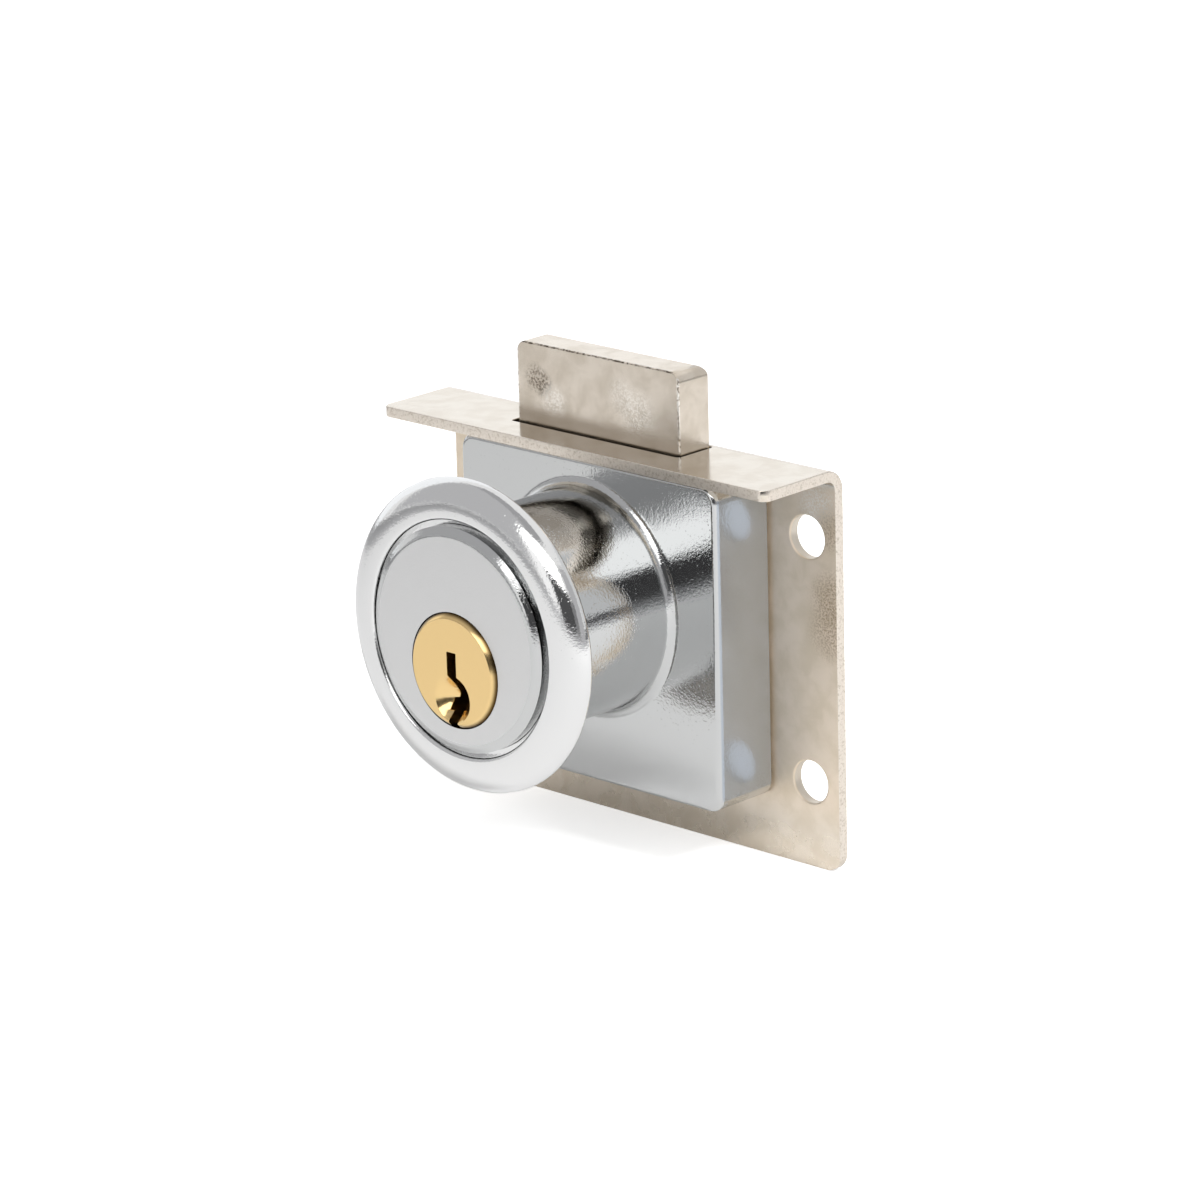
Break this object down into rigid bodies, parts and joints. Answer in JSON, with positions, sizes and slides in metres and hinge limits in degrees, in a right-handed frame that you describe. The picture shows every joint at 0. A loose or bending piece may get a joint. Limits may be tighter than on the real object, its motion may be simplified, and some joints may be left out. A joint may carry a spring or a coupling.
{
  "type": "cabinet lock",
  "caption": "Half-mortise cabinet lock: bent mounting plate, square case with a round barrel, turning plug, sliding bolt and a loose trim ring.",
  "frame": {"origin": "middle of the four screw holes, on the plate's front face, which seats against the back of the drawer front", "axes": "-Y out of the front of the lock along the barrel, +Z the way the bolt goes when it locks, +X to the right seen from the front"},
  "size_m": [0.0508, 0.0279, 0.0487],
  "materials": {
    "plate": "nickel-plated steel sheet, warm and satin",
    "case": "bright chrome plate on a die casting, a little pitted",
    "rivet": "zinc-plated steel",
    "cover": "bright chrome plate on a die casting, a little pitted",
    "ring": "bright chrome plate on a die casting, a little pitted",
    "plug": "satin turned brass",
    "cam": "plain cast brass",
    "screw": "zinc-plated steel",
    "bolt": "nickel-plated steel, mottled with small pits",
    "key_pin": "turned brass",
    "driver_pin": "nickel-plated brass",
    "pin_spring": "spring wire"
  },
  "bodies": {
    "case": {"back_plate": "plate", "lock_case": "case", "case_rivets": "rivet", "chamber_cover": "cover", "pin_spring_1": "pin_spring", "pin_spring_2": "pin_spring", "pin_spring_3": "pin_spring", "pin_spring_4": "pin_spring", "pin_spring_5": "pin_spring"},
    "cylinder": {"plug": "plug", "drive_cam": "cam", "cam_screws": "screw"},
    "bolt": {"bolt": "bolt"},
    "trim_ring": {"trim_ring": "ring"},
    "key_pin_1": {"key_pin_1": "key_pin"},
    "driver_pin_1": {"driver_pin_1": "driver_pin"},
    "key_pin_2": {"key_pin_2": "key_pin"},
    "driver_pin_2": {"driver_pin_2": "driver_pin"},
    "key_pin_3": {"key_pin_3": "key_pin"},
    "driver_pin_3": {"driver_pin_3": "driver_pin"},
    "key_pin_4": {"key_pin_4": "key_pin"},
    "driver_pin_4": {"driver_pin_4": "driver_pin"},
    "key_pin_5": {"key_pin_5": "key_pin"},
    "driver_pin_5": {"driver_pin_5": "driver_pin"}
  },
  "joints": [
    {"name": "plug_turn", "type": "hinge", "parent": "case", "child": "cylinder", "pos_m": [0, 0, 0.0011], "axis": [0, 1, 0], "range_deg": [0, 180]},
    {"name": "bolt_slide", "type": "slide", "parent": "case", "child": "bolt", "axis": [0, 0, -1], "range_m": [0, 0.0084]},
    {"name": "trim_ring_slide", "type": "slide", "parent": "case", "child": "trim_ring", "axis": [0, 1, 0], "range_m": [-0.004, 0.0127]},
    {"name": "driver_pin_1_lift", "type": "slide", "parent": "case", "child": "driver_pin_1", "axis": [0, 0, 1], "range_m": [0, 0.0014], "stiffness_N_per_m": 50, "springref_m": -0.002, "deforming": ["pin_spring_1"]},
    {"name": "key_pin_1_slide", "type": "slide", "parent": "cylinder", "child": "key_pin_1", "axis": [0, 0, 1], "range_m": [-0.0011, 0]},
    {"name": "driver_pin_2_lift", "type": "slide", "parent": "case", "child": "driver_pin_2", "axis": [0, 0, 1], "range_m": [0, 0.0014], "stiffness_N_per_m": 50, "springref_m": -0.002, "deforming": ["pin_spring_2"]},
    {"name": "key_pin_2_slide", "type": "slide", "parent": "cylinder", "child": "key_pin_2", "axis": [0, 0, 1], "range_m": [-0.0004, 0]},
    {"name": "driver_pin_3_lift", "type": "slide", "parent": "case", "child": "driver_pin_3", "axis": [0, 0, 1], "range_m": [0, 0.0014], "stiffness_N_per_m": 50, "springref_m": -0.002, "deforming": ["pin_spring_3"]},
    {"name": "key_pin_3_slide", "type": "slide", "parent": "cylinder", "child": "key_pin_3", "axis": [0, 0, 1], "range_m": [-0.00145, 0]},
    {"name": "driver_pin_4_lift", "type": "slide", "parent": "case", "child": "driver_pin_4", "axis": [0, 0, 1], "range_m": [0, 0.0014], "stiffness_N_per_m": 50, "springref_m": -0.002, "deforming": ["pin_spring_4"]},
    {"name": "key_pin_4_slide", "type": "slide", "parent": "cylinder", "child": "key_pin_4", "axis": [0, 0, 1], "range_m": [-0.00075, 0]},
    {"name": "driver_pin_5_lift", "type": "slide", "parent": "case", "child": "driver_pin_5", "axis": [0, 0, 1], "range_m": [0, 0.0014], "stiffness_N_per_m": 50, "springref_m": -0.002, "deforming": ["pin_spring_5"]},
    {"name": "key_pin_5_slide", "type": "slide", "parent": "cylinder", "child": "key_pin_5", "axis": [0, 0, 1], "range_m": [-0.0011, 0]}
  ],
  "couplings": [
    {"joint": "plug_turn", "follows": "bolt_slide", "rad_per_m": 373.9}
  ]
}
